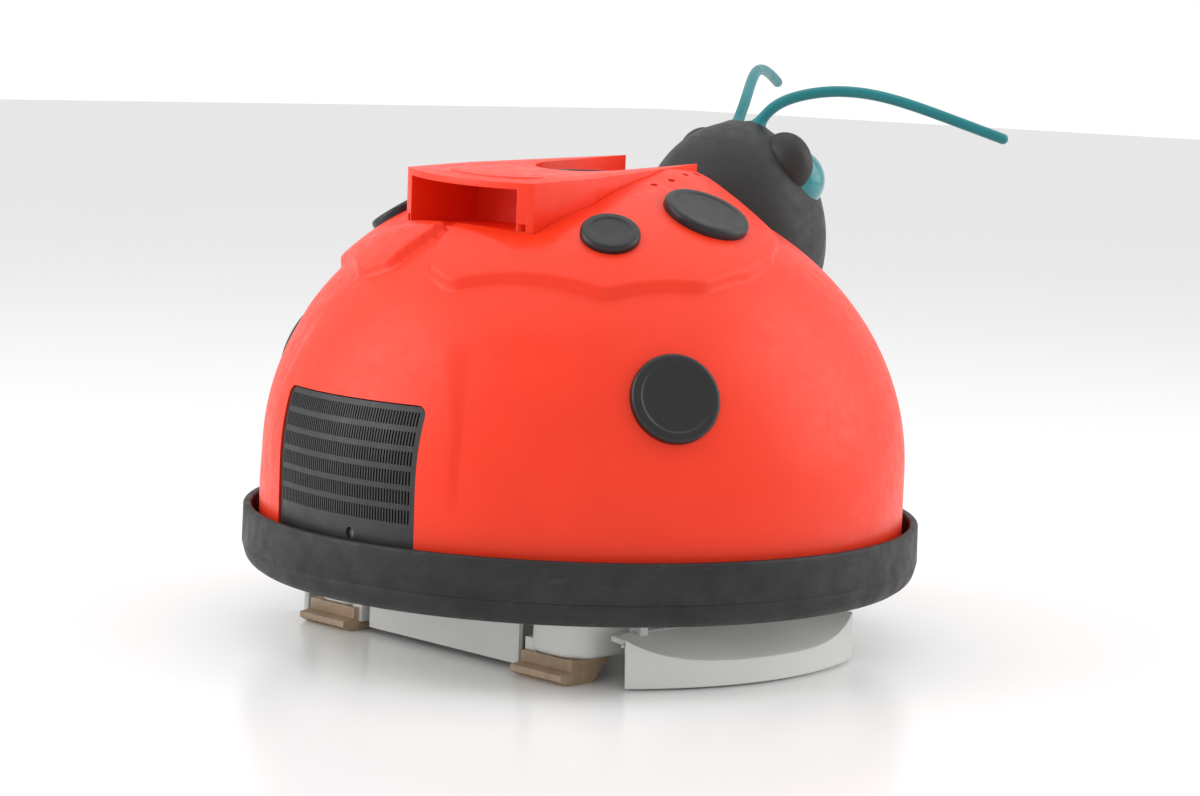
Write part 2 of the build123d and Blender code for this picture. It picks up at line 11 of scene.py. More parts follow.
import bmesh
import bpy
import numpy as np
from mathutils import Matrix, Vector


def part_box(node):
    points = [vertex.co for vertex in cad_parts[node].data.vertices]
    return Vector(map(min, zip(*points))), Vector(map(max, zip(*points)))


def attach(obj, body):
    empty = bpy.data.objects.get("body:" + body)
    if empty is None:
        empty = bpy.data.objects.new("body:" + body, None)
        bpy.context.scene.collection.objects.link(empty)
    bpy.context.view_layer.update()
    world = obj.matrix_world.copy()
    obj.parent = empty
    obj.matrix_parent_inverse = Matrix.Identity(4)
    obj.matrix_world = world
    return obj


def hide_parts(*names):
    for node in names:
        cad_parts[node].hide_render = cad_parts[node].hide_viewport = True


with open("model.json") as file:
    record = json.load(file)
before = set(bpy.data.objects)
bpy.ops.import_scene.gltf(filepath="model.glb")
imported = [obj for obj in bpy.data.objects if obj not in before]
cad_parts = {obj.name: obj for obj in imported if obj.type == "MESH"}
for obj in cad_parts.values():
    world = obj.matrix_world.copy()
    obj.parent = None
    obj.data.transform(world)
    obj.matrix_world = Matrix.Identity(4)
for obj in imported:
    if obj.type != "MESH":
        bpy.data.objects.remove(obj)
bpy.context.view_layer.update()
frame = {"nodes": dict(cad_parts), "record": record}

MM = 0.001
SAME_POINT = 1e-7  # metres: points this close are one
RIGHT, LEFT = -1, 1
SIDES = {"r": RIGHT, "l": LEFT}

ring_low, ring_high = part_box("bumper_ring")
AXIS = (ring_low + ring_high) / 2
RING_R = (ring_high.x - ring_low.x) / 2 / MM
RING_TOP = ring_high.z / MM
RING_BOTTOM = ring_low.z / MM

DOME_R = 166.5  # the shell's outside is half an ellipsoid on a straight skirt
DOME_RISE = 145.0
DOME_MID = 93.3
SHELL_WALL = 3.0
PAD_RISE = 4.5


# --- mesh helpers -------------------------------------------------------------------------
def place(points):
    """Millimetres from the body's axis to metres in the row frame."""
    return (np.asarray(points, float) + (AXIS.x / MM, AXIS.y / MM, 0)) * MM


def add_mesh(name, points, faces):
    """A new object from points and faces, with its normals facing out."""
    mesh = bpy.data.meshes.new(name)
    mesh.from_pydata(place(points).tolist(), [], faces)
    obj = bpy.data.objects.new(name, mesh)
    bpy.context.scene.collection.objects.link(obj)
    work = bmesh.new()
    work.from_mesh(mesh)
    bmesh.ops.remove_doubles(work, verts=work.verts, dist=SAME_POINT)
    bmesh.ops.recalc_face_normals(work, faces=work.faces)
    work.to_mesh(mesh)
    work.free()
    return obj


def wrap_faces(rows, columns, close_rows=False):
    """Quads of a grid whose columns close on themselves, and whose rows may."""
    faces = []
    for r in range(rows if close_rows else rows - 1):
        s = (r + 1) % rows
        for c in range(columns):
            d = (c + 1) % columns
            faces.append((r * columns + c, r * columns + d, s * columns + d, s * columns + c))
    return faces


def rounded(corners, radii, steps=5, closed=True):
    """A 2-D outline with each corner turned into an arc of its own radius."""
    if not hasattr(radii, "__len__"):
        radii = [radii] * len(corners)
    outline = []
    count = len(corners)
    for i, (corner, radius) in enumerate(zip(corners, radii)):
        here = Vector(corner)
        ends = not closed and i in (0, count - 1)
        if radius <= 0 or ends:
            outline.append(tuple(here))
            continue
        before = (Vector(corners[i - 1]) - here).normalized()
        after = (Vector(corners[(i + 1) % count]) - here).normalized()
        half = before.angle(after) / 2
        reach = radius / tan(half)
        centre = here + (before + after).normalized() * (radius / sin(half))
        first, last = here + before * reach - centre, here + after * reach - centre
        turn = first.angle_signed(last)
        for k in range(steps + 1):
            outline.append(tuple(centre + Matrix.Rotation(-turn * k / steps, 2) @ first))
    return outline


def lathe(name, profile, steps=96, frame_of=None):
    """Turns a closed (radius, height) outline about z, or about the axis of a placing matrix."""
    turns = np.linspace(0, 2 * pi, steps, endpoint=False)
    profile = np.asarray(profile, float)
    points = np.empty((len(profile), steps, 3))
    points[:, :, 0] = profile[:, :1] * np.cos(turns)
    points[:, :, 1] = profile[:, :1] * np.sin(turns)
    points[:, :, 2] = profile[:, 1:]
    points = points.reshape(-1, 3)
    if frame_of is not None:
        rotation = np.array(frame_of.to_3x3())
        points = points @ rotation.T + np.array(frame_of.translation)
    solid = profile[0][0] == 0 and profile[-1][0] == 0  # its ends meet the axis, so nothing closes along it
    return add_mesh(name, points, wrap_faces(len(profile), steps, close_rows=not solid))


def prism(name, outline, low, high, lay=lambda u, v, w: (u, v, w)):
    """A straight prism over a 2-D outline, laid in space by lay(u, v, depth)."""
    count = len(outline)
    points = [lay(u, v, w) for w in (low, high) for u, v in outline]
    faces = [tuple(range(count)), tuple(range(count, 2 * count))]
    for i in range(count):
        j = (i + 1) % count
        faces.append((i, j, count + j, count + i))
    return add_mesh(name, points, faces)


def upright(u, v, w):
    """Lays an outline in the upright plane across the body: u is x, v is z, w is y."""
    return (u, w, v)


def bake(obj):
    """Applies the object's modifiers."""
    depsgraph = bpy.context.evaluated_depsgraph_get()
    mesh = bpy.data.meshes.new_from_object(obj.evaluated_get(depsgraph))
    obj.modifiers.clear()
    obj.data = mesh
    return obj


def carve(obj, tool, operation="DIFFERENCE"):
    """Cuts obj with tool, joins them or keeps what they share, and removes the tool.

    The manifold solver is quick on dense meshes; the exact one is used on small ones.
    """
    change = obj.modifiers.new("carve", "BOOLEAN")
    change.operation = operation
    change.object = tool
    change.solver = "MANIFOLD" if len(obj.data.vertices) > 2000 else "EXACT"
    bpy.context.view_layer.update()
    bake(obj)
    bpy.data.objects.remove(tool)
    return obj


def soften(obj, width, segments=3, angle=32, flat=0.6):
    """Merges flat faces and rounds the sharp edges by width, in millimetres."""
    merge = obj.modifiers.new("merge", "DECIMATE")
    merge.decimate_type = "DISSOLVE"
    merge.angle_limit = radians(flat)
    edge = obj.modifiers.new("edge", "BEVEL")
    edge.width = width * MM
    edge.segments = segments
    edge.angle_limit = radians(angle)
    edge.use_clamp_overlap = True
    edge.miter_outer = "MITER_ARC"
    bpy.context.view_layer.update()
    return bake(obj)


def bevel_only(obj, width, segments=3, angle=32):
    """Rounds the sharp edges by width, in millimetres, and leaves the flat faces alone."""
    edge = obj.modifiers.new("edge", "BEVEL")
    edge.width = width * MM
    edge.segments = segments
    edge.angle_limit = radians(angle)
    edge.use_clamp_overlap = True
    bpy.context.view_layer.update()
    return bake(obj)


def settle(obj, body, material, replaces=(), sharp=38):
    """Shades a finished piece, gives it its material and lets it ride on its body."""
    obj.data.shade_smooth()
    obj.data.set_sharp_from_angle(angle=radians(sharp))
    obj.data.materials.clear()
    obj.data.materials.append(material)
    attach(obj, body)
    if replaces:
        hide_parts(*replaces)
    return obj


def smooth_step(value, low, high):
    """0 below low, 1 above high and a smooth rise between."""
    t = np.clip((np.asarray(value, float) - low) / (high - low), 0, 1)
    return t * t * (3 - 2 * t)


# --- materials ----------------------------------------------------------------------------
def new_material(name):
    material = bpy.data.materials.new(name)
    material.use_nodes = True
    nodes = material.node_tree.nodes
    shader = nodes["Principled BSDF"]
    return material, material.node_tree, shader


def noise(tree, scale, detail=3.0, rough=0.5, stretch=None):
    """A noise pattern fixed to the object, scale in features per metre."""
    nodes, links = tree.nodes, tree.links
    place_node = nodes.new("ShaderNodeTexCoord")
    source = place_node.outputs["Object"]
    if stretch:
        mapping = nodes.new("ShaderNodeMapping")
        mapping.inputs["Scale"].default_value = stretch
        links.new(source, mapping.inputs["Vector"])
        source = mapping.outputs["Vector"]
    pattern = nodes.new("ShaderNodeTexNoise")
    pattern.inputs["Scale"].default_value = scale
    pattern.inputs["Detail"].default_value = detail
    pattern.inputs["Roughness"].default_value = rough
    links.new(source, pattern.inputs["Vector"])
    return pattern.outputs["Fac"]


def remap(tree, value, low, high, to_low, to_high):
    node = tree.nodes.new("ShaderNodeMapRange")
    node.inputs["From Min"].default_value = low
    node.inputs["From Max"].default_value = high
    node.inputs["To Min"].default_value = to_low
    node.inputs["To Max"].default_value = to_high
    tree.links.new(value, node.inputs["Value"])
    return node.outputs["Result"]


def blend_colours(tree, factor, first, second):
    """A mix of two colours; each is a colour or a socket."""
    node = tree.nodes.new("ShaderNodeMix")
    node.data_type = "RGBA"
    tree.links.new(factor, node.inputs[0])
    for socket, value in ((node.inputs[6], first), (node.inputs[7], second)):
        if hasattr(value, "is_linked"):
            tree.links.new(value, socket)
        else:
            socket.default_value = (*value, 1)
    return node.outputs[2]


def multiply(tree, first, second):
    node = tree.nodes.new("ShaderNodeMath")
    node.operation = "MULTIPLY"
    for socket, value in zip(node.inputs, (first, second)):
        if hasattr(value, "is_linked"):
            tree.links.new(value, socket)
        else:
            socket.default_value = value
    return node.outputs[0]


def bump(tree, shader, height, distance, strength=1.0, before=None):
    node = tree.nodes.new("ShaderNodeBump")
    node.inputs["Distance"].default_value = distance * MM
    node.inputs["Strength"].default_value = strength
    tree.links.new(height, node.inputs["Height"])
    if before is not None:
        tree.links.new(before, node.inputs["Normal"])
    tree.links.new(node.outputs["Normal"], shader.inputs["Normal"])
    return node.outputs["Normal"]


def moulded(name, colour, roughness, grain=0.012, tone=0.06, specular=0.5, coat=0.0, wave=0.12):
    """Moulded plastic: uneven tone, a fine grained skin and a slow wave in the surface."""
    material, tree, shader = new_material(name)
    slow = noise(tree, 22, 3)
    dark = tuple(c * (1 - tone) for c in colour)
    light = tuple(min(1, c * (1 + tone)) for c in colour)
    base = blend_colours(tree, remap(tree, slow, 0.3, 0.7, 0, 1), dark, light)
    tree.links.new(base, shader.inputs["Base Color"])
    streaks = noise(tree, 160, 5, 0.6)
    spread = roughness * 0.22
    tree.links.new(
        remap(tree, streaks, 0.3, 0.7, roughness - spread, roughness + spread), shader.inputs["Roughness"]
    )
    shader.inputs["Specular IOR Level"].default_value = specular
    if coat:
        shader.inputs["Coat Weight"].default_value = coat
        shader.inputs["Coat Roughness"].default_value = 0.12
    surface = bump(tree, shader, noise(tree, 16, 2), wave, 0.6)
    bump(tree, shader, noise(tree, 2600, 2), grain, 0.7, surface)
    return material


def rubber(name, colour, roughness, scuff, scuff_amount, grain=0.03):
    """Rubber with a pitted skin, pale scuffs along its edges and cloudy patches."""
    material, tree, shader = new_material(name)
    cloud = remap(tree, noise(tree, 26, 5, 0.6), 0.35, 0.7, 0, 1)
    base = blend_colours(tree, cloud, tuple(c * 0.72 for c in colour), tuple(c * 1.45 for c in colour))
    rubbed = remap(tree, noise(tree, 70, 8, 0.72, (1, 1, 3.2)), 0.56, 0.78, 0, scuff_amount)
    base = blend_colours(tree, rubbed, base, scuff)
    edge = tree.nodes.new("ShaderNodeNewGeometry")
    worn = multiply(
        tree,
        remap(tree, edge.outputs["Pointiness"], 0.52, 0.62, 0, 0.8),
        remap(tree, noise(tree, 240, 4), 0.4, 0.6, 0.2, 1),
    )
    base = blend_colours(tree, worn, base, scuff)
    tree.links.new(base, shader.inputs["Base Color"])
    tree.links.new(
        remap(tree, noise(tree, 90, 5, 0.6), 0.3, 0.7, roughness - 0.1, roughness + 0.12),
        shader.inputs["Roughness"],
    )
    shader.inputs["Specular IOR Level"].default_value = 0.42
    surface = bump(tree, shader, noise(tree, 34, 4, 0.6), 0.35, 0.5)
    bump(tree, shader, noise(tree, 1500, 3), grain, 0.8, surface)
    return material


def brushed_metal(name):
    """Drawn steel wire and pins, with fine lines along and across."""
    material, tree, shader = new_material(name)
    lines = noise(tree, 900, 4, 0.6, (0.05, 1, 1))
    base = blend_colours(tree, remap(tree, lines, 0.3, 0.7, 0, 1), (0.42, 0.42, 0.43), (0.68, 0.68, 0.68))
    tree.links.new(base, shader.inputs["Base Color"])
    tree.links.new(remap(tree, lines, 0.3, 0.7, 0.22, 0.42), shader.inputs["Roughness"])
    shader.inputs["Metallic"].default_value = 1.0
    bump(tree, shader, lines, 0.01, 0.6)
    return material


def smoky_plastic(name):
    """Clear plastic tinted purple grey, with faint flow lines."""
    material, tree, shader = new_material(name)
    flow = noise(tree, 60, 4, 0.6, (1, 1, 0.3))
    base = blend_colours(tree, remap(tree, flow, 0.3, 0.7, 0, 1), (0.30, 0.12, 0.17), (0.48, 0.24, 0.30))
    tree.links.new(base, shader.inputs["Base Color"])
    tree.links.new(remap(tree, flow, 0.3, 0.7, 0.08, 0.2), shader.inputs["Roughness"])
    shader.inputs["Transmission Weight"].default_value = 0.75
    shader.inputs["IOR"].default_value = 1.42
    bump(tree, shader, flow, 0.05, 0.4)
    return material


MATERIALS = {
    "shell_red": moulded("shell_red", (0.90, 0.036, 0.006), 0.40, 0.010, 0.035, 0.38, wave=0.10),
    "bumper_rubber": rubber("bumper_rubber", (0.013, 0.0125, 0.013), 0.54, (0.075, 0.072, 0.07), 0.34),
    "black_plastic": moulded("black_plastic", (0.016, 0.016, 0.017), 0.42, 0.014, 0.2, 0.45),
    "head_black": moulded("head_black", (0.017, 0.0165, 0.0165), 0.47, 0.016, 0.15, 0.42),
    "spot_black": moulded("spot_black", (0.009, 0.009, 0.0095), 0.36, 0.010, 0.2, 0.45),
    "teal": moulded("teal", (0.0, 0.215, 0.235), 0.22, 0.004, 0.06, 0.5, coat=0.5),
    "teal_rubber": moulded("teal_rubber", (0.0, 0.185, 0.205), 0.36, 0.014, 0.08, 0.45),
    "white_plastic": moulded("white_plastic", (0.76, 0.76, 0.74), 0.46, 0.016, 0.03, 0.4),
    "wing_plastic": moulded("wing_plastic", (0.70, 0.70, 0.68), 0.50, 0.020, 0.03, 0.38),
    "shoe_rubber": rubber("shoe_rubber", (0.36, 0.245, 0.155), 0.58, (0.52, 0.42, 0.32), 0.3, 0.02),
    "olive_plastic": moulded("olive_plastic", (0.24, 0.18, 0.055), 0.5, 0.014, 0.12),
    "bearing_plastic": moulded("bearing_plastic", (0.6, 0.58, 0.52), 0.42, 0.008, 0.05),
    "turbine_plastic": moulded("turbine_plastic", (0.66, 0.66, 0.63), 0.45, 0.012, 0.04),
    "gear_plastic": moulded("gear_plastic", (0.62, 0.57, 0.47), 0.4, 0.008, 0.05),
    "smoky_plastic": smoky_plastic("smoky_plastic"),
    "steel": brushed_metal("steel"),
}


# --- the shell's surface ------------------------------------------------------------------
def ellipsoid_height(reach, rise):
    """Height of the dome grown by rise, at this distance from the axis."""
    share = 1 - (np.asarray(reach, float) / (DOME_R + rise)) ** 2
    return DOME_MID + (DOME_RISE + rise) * np.sqrt(np.maximum(share, 0))


def signed_distance(x, y, corners):
    """Distance from a closed outline, negative inside it."""
    best = np.full(x.shape, 1e9)
    inside = np.zeros(x.shape, bool)
    for i, (x1, y1) in enumerate(corners):
        x0, y0 = corners[i - 1]
        ex, ey = x1 - x0, y1 - y0
        t = np.clip(((x - x0) * ex + (y - y0) * ey) / (ex * ex + ey * ey), 0, 1)
        best = np.minimum(best, np.hypot(x - x0 - t * ex, y - y0 - t * ey))
        crosses = (y0 > y) != (y1 > y)
        with np.errstate(divide="ignore", invalid="ignore"):
            at = x0 + (y - y0) * ex / (ey if ey else 1e-9)
        inside ^= crosses & (x < at)
    return np.where(inside, -best, best)


def arc_through(a, b, c, steps=12):
    """Points of the arc from a through b to c."""
    (ax, ay), (bx, by), (cx, cy) = a, b, c
    d = 2 * (ax * (by - cy) + bx * (cy - ay) + cx * (ay - by))
    ux = ((ax**2 + ay**2) * (by - cy) + (bx**2 + by**2) * (cy - ay) + (cx**2 + cy**2) * (ay - by)) / d
    uy = ((ax**2 + ay**2) * (cx - bx) + (bx**2 + by**2) * (ax - cx) + (cx**2 + cy**2) * (bx - ax)) / d
    start, middle, end = (atan2(p[1] - uy, p[0] - ux) for p in (a, b, c))
    for turn in (0, 2 * pi, -2 * pi):
        if (start - middle) * (middle - (end + turn)) > 0:
            end += turn
            break
    radius = hypot(ax - ux, ay - uy)
    turns = np.linspace(start, end, steps + 1)
    return [(ux + radius * cos(t), uy + radius * sin(t)) for t in turns]


# the outside of one wing-cover pad in plan, for the side where x is positive
PAD_PLAN = rounded(
    [(-6, 60), (6.5, 108), (13.5, 123), (34, 126.5), (100, 85), (121.5, 39), (121.5, 8), (113, -17),
     (96, -40), (62, -47), (21, -44), (14, -10), (-6, 20)],
    [0, 3, 9, 16, 14, 20, 18, 18, 12, 10, 2, 0, 0],
)
PAD_EDGE = 1.9  # half the width of the pads' soft edge
CREASE_TURN = radians(25)  # the rear zone ends here, each side of the rear


def hood_side(y):
    """Half width of the hood in plan at y."""
    return np.interp(y, [-49, 44], [27, 47.4])


def surface_rise(x, y, z):
    """How far the shell stands proud of its plain dome at points near it."""
    out = np.abs(x)
    pad = smooth_step(-signed_distance(out, y, PAD_PLAN), -PAD_EDGE, PAD_EDGE)
    pad = np.where(z > 130, pad, 0)
    rise = PAD_RISE * pad
    beside = np.maximum(out - hood_side(y), 0)
    along = np.interp(y, [-44, -20, -4, 20, 48, 84, 100], [6.2, 4.2, 0.5, -2.6, -5.0, -4.0, 0])
    fade = np.exp(-((beside / np.where(along > 0, 26, 13)) ** 2))
    rise = rise + np.where(z > 150, along * fade * pad, 0)
    turn = np.arctan2(out, y)
    sweep = smooth_step(turn, CREASE_TURN - 0.012 - 0.11 * smooth_step(z, 120, 175), CREASE_TURN + 0.006)
    low_fade = smooth_step(z, 76, 100) * (1 - smooth_step(z, 158, 172))
    rise = rise - 1.3 * sweep * low_fade * (1 - smooth_step(turn, CREASE_TURN + 0.1, CREASE_TURN + 0.5))
    return rise


def shell_point(x, y, rise=0.0):
    """Point and normal of the dome grown by rise, above x, y."""
    a, b = DOME_R + rise, DOME_RISE + rise
    z = float(ellipsoid_height(hypot(x, y), rise))
    normal = Vector((x / a**2, y / a**2, (z - DOME_MID) / b**2)).normalized()
    return Vector((x, y, z)), normal


def dome_rows():
    """Base profile from the skirt's foot to the top: radius, height and outward normal."""
    rows = [(DOME_R, z, 1.0, 0.0) for z in np.linspace(49, DOME_MID, 14, endpoint=False)]
    stops = [(0, 0), (18, 12), (33, 30), (75, 150), (90, 162)]
    steps = np.arange(stops[-1][1] + 1)
    tilts = np.interp(steps, [s[1] for s in stops], [s[0] for s in stops])
    for tilt in np.radians(tilts):
        nr, nz = cos(tilt) / DOME_R, sin(tilt) / DOME_RISE
        size = hypot(nr, nz)
        rows.append((DOME_R * cos(tilt), DOME_MID + DOME_RISE * sin(tilt), nr / size, nz / size))
    return np.array(rows)


DOME_COLUMNS = 512


def make_shell():
    """The dome with its two pads, rear creases and openings."""
    turns = np.linspace(0, 2 * pi, DOME_COLUMNS, endpoint=False)
    rows = dome_rows()
    radius, height, out, up = (rows[:, i : i + 1] for i in range(4))
    x, y = radius * np.cos(turns), radius * np.sin(turns)
    near = PAD_RISE * 0.8
    px, py = x + near * out * np.cos(turns), y + near * out * np.sin(turns)
    rise = surface_rise(px, py, height + near * up + 0 * turns)
    outer = np.stack(
        [x + rise * out * np.cos(turns), y + rise * out * np.sin(turns), height + rise * up], axis=-1
    )
    inner_rows = [(DOME_R - SHELL_WALL, z) for z in np.linspace(49, DOME_MID, 3, endpoint=False)]
    for tilt in np.radians(np.linspace(0, 90, 14)):
        reach, rise = (DOME_R - SHELL_WALL) * cos(tilt), (DOME_RISE - SHELL_WALL) * sin(tilt)
        inner_rows.append((reach, DOME_MID + rise))
    inner = np.array([[(r * cos(t), r * sin(t), z) for t in turns] for r, z in inner_rows])
    grid = np.concatenate([outer[::-1], inner])
    shell = add_mesh("top_shell_skin", grid.reshape(-1, 3), wrap_faces(len(grid), DOME_COLUMNS))

    half, top = GRILLE_HALF + GRILLE_GAP, GRILLE_TOP + GRILLE_GAP
    opening = rounded([(-half, 20), (half, 20), (half, top), (-half, top)], [0, 0, 5, 5])
    carve(shell, prism("cut", opening, 100, 190, upright))
    plan = hood_outline(0.35)
    carve(shell, prism("cut", plan, 195, 300))
    for side in SIDES.values():
        for vx, vy in VENTS:
            point, normal = shell_point(side * vx, vy, PAD_RISE + 3)
            tip = Matrix.Translation(point) @ normal.to_track_quat("Z", "Y").to_matrix().to_4x4()
            carve(shell, lathe("cut", [(0, -18), (VENT_R, -18), (VENT_R, 12), (0, 12)], 24, tip))
    return settle(shell, "chassis", MATERIALS["shell_red"], ["top_shell"], sharp=40)


GRILLE_HALF = 51.0
GRILLE_TOP = 132.0
GRILLE_GAP = 0.7  # the dark line between the grille and the shell
VENT_R = 2.0
VENTS = [(50, 4), (48, -10), (42, -25), (38, -37)]

HOOD_HALF = 47.4
HOOD_BACK = 84.0
HOOD_BACK_Z = 238.6
HOOD_LEAN = 0.035
HOOD_CLIMB = 0.058
HOSE_Y = 5.0  # the hose cone stands this far behind the body's axis
CHANNEL_R = 26.0
CHANNEL_DEPTH = 12
CONE_HOLE_R = 21.9


def hood_top(x, y):
    """Height of the hood's flat top."""
    return HOOD_BACK_Z + HOOD_LEAN * x - HOOD_CLIMB * (y - HOOD_BACK)


def hood_outline(grow):
    half = HOOD_HALF + grow
    back = arc_through((half, HOOD_BACK), (0, hypot(HOOD_HALF, HOOD_BACK) + grow), (-half, HOOD_BACK), 24)
    return back + [(-half, 44), (-27 - grow, -49 - grow), (27 + grow, -49 - grow), (half, 44)]


def over_top(drop):
    """A block whose underside lies drop below the hood's top."""
    corners = [(-80, -90), (80, -90), (80, 140), (-80, 140)]
    low = [(x, y, hood_top(x, y) - drop) for x, y in corners]
    high = [(x, y, 330) for x, y in corners]
    faces = [(0, 1, 2, 3), (4, 5, 6, 7)] + [(i, (i + 1) % 4, 4 + (i + 1) % 4, 4 + i) for i in range(4)]
    return add_mesh("cut", low + high, faces)


def make_hood():
    """The hood: a plate over the finger grip behind, and the hose channel in front."""
    floor_z, grip_floor, grip_front, wall, plate = 209.5, 213.5, 43.0, 8.0, 3.2
    hood = prism("handle_hood_skin", hood_outline(0), floor_z, 290)
    carve(hood, over_top(0))
    carve(hood, prism("cut", [(-62, -70), (62, -70), (62, grip_front - 2), (-62, grip_front - 2)], 190, 224))
    grip_half = HOOD_HALF - wall
    past_back = 130
    grip = prism(
        "cut",
        [(-grip_half, grip_front), (grip_half, grip_front), (grip_half, past_back), (-grip_half, past_back)],
        grip_floor, 290,
    )
    carve(grip, over_top(plate))
    carve(hood, grip)
    # the channel for the hose cuff, round about the cone and open to the front
    turns = np.linspace(-90, 90, 25)
    channel = [
        (CHANNEL_R * sin(radians(t)), HOSE_Y + CHANNEL_R * cos(radians(t))) for t in turns
    ] + [(CHANNEL_R, -90), (-CHANNEL_R, -90)]
    tool = prism("cut", channel, 200, 300)
    carve(tool, over_top(CHANNEL_DEPTH), "INTERSECT")
    carve(hood, tool)
    bore = [(0, 190), (CONE_HOLE_R, 190), (CONE_HOLE_R, 260), (0, 260)]
    carve(hood, lathe("cut", bore, 64, Matrix.Translation((0, HOSE_Y, 0))))
    # pockets in the lower corners of the grip's mouth
    for side in SIDES.values():
        outer = side * (grip_half + 4.5)
        pocket = [(side * (grip_half - 1), 98), (outer, 70), (outer, 98)]
        carve(hood, prism("cut", pocket, grip_floor - 0.05, grip_floor + 3.5))
    soften(hood, 0.9, 3)
    settle(hood, "chassis", MATERIALS["shell_red"], ["handle_hood"], sharp=50)
    make_panel()


def make_panel():
    """A low oval panel moulded on the plate."""
    steps, rings = 72, 5
    points, faces = [], []
    for ring in range(rings):
        share = 1 - ring / (rings - 1)
        for k in range(steps):
            turn = 2 * pi * k / steps
            grow = 1 + 0.035 * share
            x, y = 30 * grow * cos(turn), 66 + 15 * grow * sin(turn)
            lift = 0.7 * (1 - share**2) - 0.3 * (share == 1)
            points.append((x, y, hood_top(x, y) + lift))
    faces = wrap_faces(rings, steps)
    faces.append(tuple(range((rings - 1) * steps, rings * steps)))
    faces.append(tuple(range(steps)))
    panel = add_mesh("hood_panel", points, faces)
    settle(panel, "chassis", MATERIALS["shell_red"], sharp=30)


# --- bumper ring --------------------------------------------------------------------------
def make_ring():
    """The rubber ring, with its parting line."""
    r, top, low = RING_R, RING_TOP, RING_BOTTOM
    seam = 46.0
    outline = rounded(
        [(r - 4.6, top), (r - 0.3, top), (r, seam + 0.35), (r - 0.45, seam), (r - 0.2, seam - 0.5),
         (r - 2.2, seam - 8), (r - 7.5, low), (160, low), (160, low + 9.5), (r - 4.6, low + 9.5)],
        [1.5, 1.5, 0, 0, 0, 9, 4, 1, 0, 0], 6,
    )
    ring = lathe("bumper_ring_skin", outline, 288)
    settle(ring, "chassis", MATERIALS["bumper_rubber"], ["bumper_ring"], sharp=55)


# --- rear grille --------------------------------------------------------------------------
GRILLE_NOTCH_X = -12.5
NOTCH_Z = 68.2
NOTCH_R = 2.7


def make_grille():
    """The exhaust grille: six rows of fine upright slots through a curved panel."""
    rows, columns, pitch, slot_w, slot_h, row_pitch, first_row = 6, 57, 1.70, 0.86, 6.6, 9.3, 79.5
    x_marks = [-GRILLE_HALF]
    slots_x = set()
    for c in range(columns):
        centre = (c - (columns - 1) / 2) * pitch
        slots_x.add(len(x_marks))
        x_marks += [centre - slot_w / 2, centre + slot_w / 2]
    x_marks.append(GRILLE_HALF)
    z_marks = list(np.linspace(49, first_row - slot_h / 2 - 3, 7))
    slots_z = set()
    for r in range(rows):
        centre = first_row + r * row_pitch
        bottom, top = centre - slot_h / 2, centre + slot_h / 2
        for part in range(3):
            slots_z.add(len(z_marks) + part)
        z_marks += list(np.linspace(bottom, top, 4))
    z_marks.append(GRILLE_TOP)
    depth = 0.9
    points = []
    for z in z_marks:
        lift = max(z - DOME_MID, 0) / DOME_RISE
        r = (DOME_R - depth) * sqrt(1 - lift**2)
        for x in x_marks:
            points.append((x, sqrt(r * r - x * x), z))
    width = len(x_marks)
    faces = []
    for j in range(len(z_marks) - 1):
        for i in range(width - 1):
            if i in slots_x and j in slots_z:
                continue
            faces.append((j * width + i, j * width + i + 1, (j + 1) * width + i + 1, (j + 1) * width + i))
    grille = add_mesh("rear_grille_skin", points, faces)
    thick = grille.modifiers.new("thick", "SOLIDIFY")
    thick.thickness = 2.0 * MM
    thick.offset = -1
    bpy.context.view_layer.update()
    bake(grille)
    outline = rounded([(-GRILLE_HALF, 40), (GRILLE_HALF, 40), (GRILLE_HALF, GRILLE_TOP),
                       (-GRILLE_HALF, GRILLE_TOP)], [0, 0, 4.6, 4.6])
    carve(grille, prism("cut", outline, 90, 190, upright), "INTERSECT")
    turns = np.linspace(0, 2 * pi, 24, endpoint=False)
    hole = [(GRILLE_NOTCH_X + NOTCH_R * cos(t), NOTCH_Z + NOTCH_R * sin(t)) for t in turns]
    carve(grille, prism("cut", hole, 90, 190, upright))
    settle(grille, "chassis", MATERIALS["black_plastic"], ["rear_grille"], sharp=30)
    # the white tongue of the lower body shows through the notch
    tongue = prism("latch_tongue", rounded([(GRILLE_NOTCH_X - 5, 47), (GRILLE_NOTCH_X + 5, 47),
                   (GRILLE_NOTCH_X + 5, 75), (GRILLE_NOTCH_X - 5, 75)], [0, 0, 3, 3]), 159.5, 162, upright)
    bevel_only(tongue, 0.5, 2)
    settle(tongue, "chassis", MATERIALS["white_plastic"])


# --- head, brows, eyes and antennas -------------------------------------------------------
HEAD = (0, -105, 203)
HEAD_SIZE = (51, 51, 63)
EYE = (30, -119.4, 236.7)
EYE_R = 17.0
BROW = (30, -112.3, 243.7)
BROW_SIZE = (17, 12.5, 18.5)
BOSS = (7.4, -111, 261)
ANTENNAS = {
    "r": [(5.5, -109, 254), (8.4, -112.5, 264.5), (12, -117, 273.5), (19.4, -125.8, 280.5),
          (33.1, -142.3, 285), (46.9, -159.1, 284.1), (60.9, -176, 279), (75, -193, 271.7),
          (93.8, -215.6, 261.9)],
    "l": [(5.5, -109, 254), (8.4, -114, 264), (13, -124, 273.5), (22, -137, 283), (40, -160, 292),
          (57, -183, 295), (67, -201, 292.5), (76, -218, 286.7)],
}


